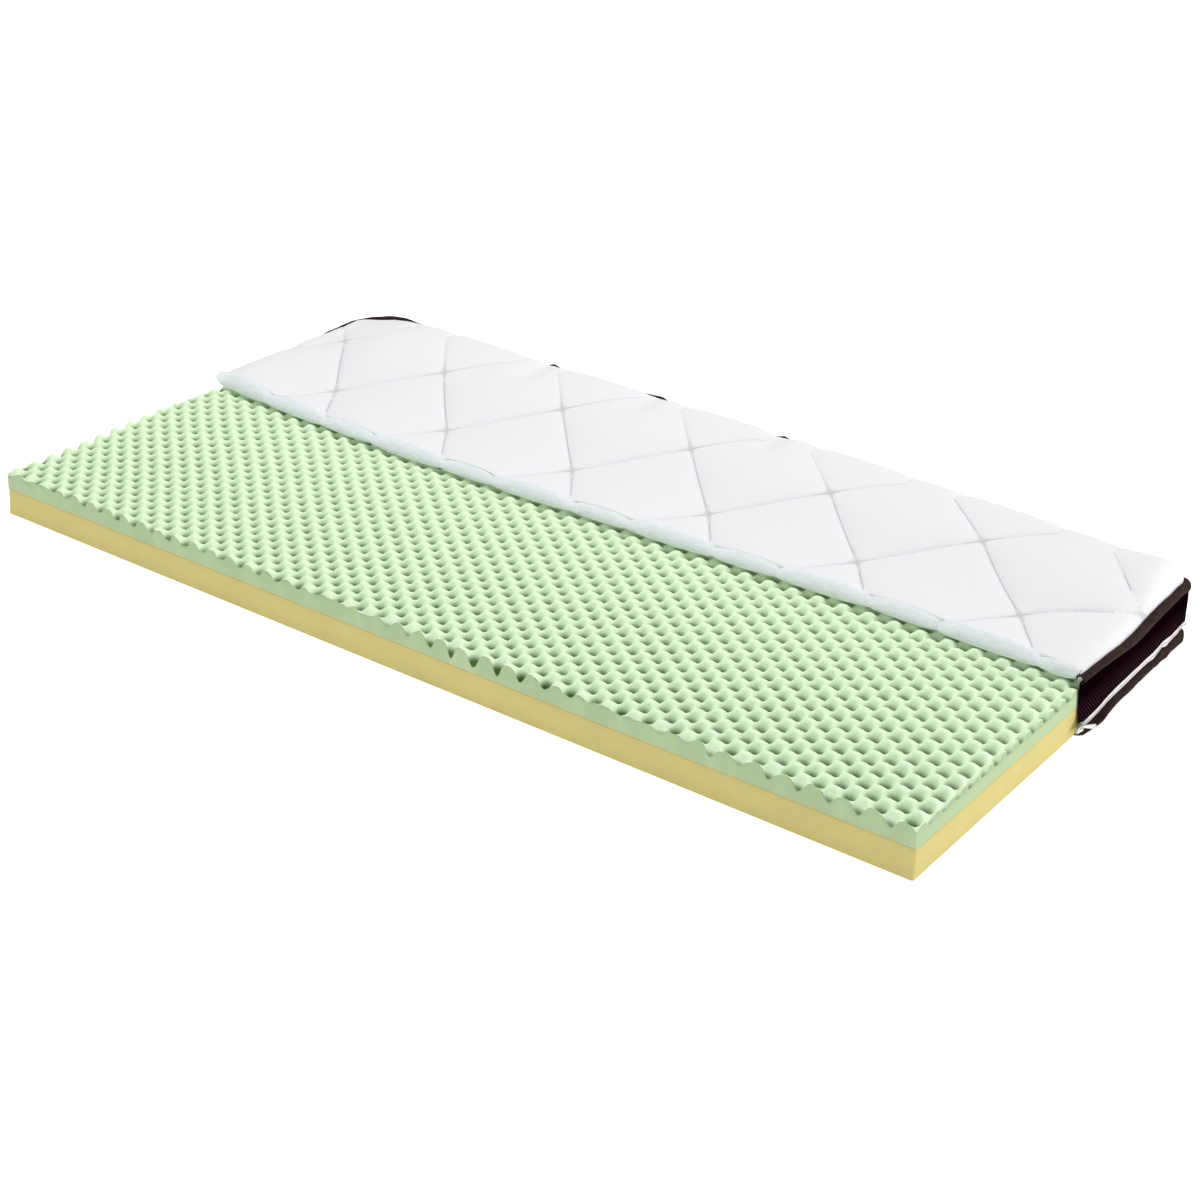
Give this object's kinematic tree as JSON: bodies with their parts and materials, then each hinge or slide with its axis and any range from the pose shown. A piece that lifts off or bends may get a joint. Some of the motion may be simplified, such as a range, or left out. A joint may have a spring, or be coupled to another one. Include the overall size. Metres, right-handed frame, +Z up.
{
  "type": "mattress topper with convoluted foam and a cut-away quilted cover",
  "caption": "Low foam mattress topper shown cut away: a yellow support slab, a green egg-crate layer and a quilted zip-off cover with a dark mesh border over the rear half",
  "frame": {"origin": "on the underside of the foam slab, at the middle of its 2.0 m length and 0.97 m width", "axes": "+Z up from the surface it lies on, +X along the 2.0 m length towards the end with the zip slider, +Y towards the half that wears the cover"},
  "size_m": [2.0738, 1.0601, 0.179],
  "materials": {
    "foam_yellow": "open-cell foam, cut face",
    "foam_green": "open-cell foam, cut face",
    "knit_white": "double-jersey knit, quilted to wadding",
    "tape_brown": "woven binding tape",
    "mesh_brown": "ribbed spacer mesh",
    "zip_white": "woven tape with a nylon coil",
    "slider_white": "painted, smooth",
    "panel_white": "plain woven"
  },
  "bodies": {
    "root": {"foam_base": "foam_yellow", "foam_crate": "foam_green", "cover_top": "knit_white", "binding_top": "tape_brown", "border_band": "mesh_brown", "zip_chain": "zip_white", "zip_slider": "slider_white", "zip_pull": "slider_white", "border_strip": "tape_brown", "cover_bottom": "panel_white"}
  },
  "joints": []
}
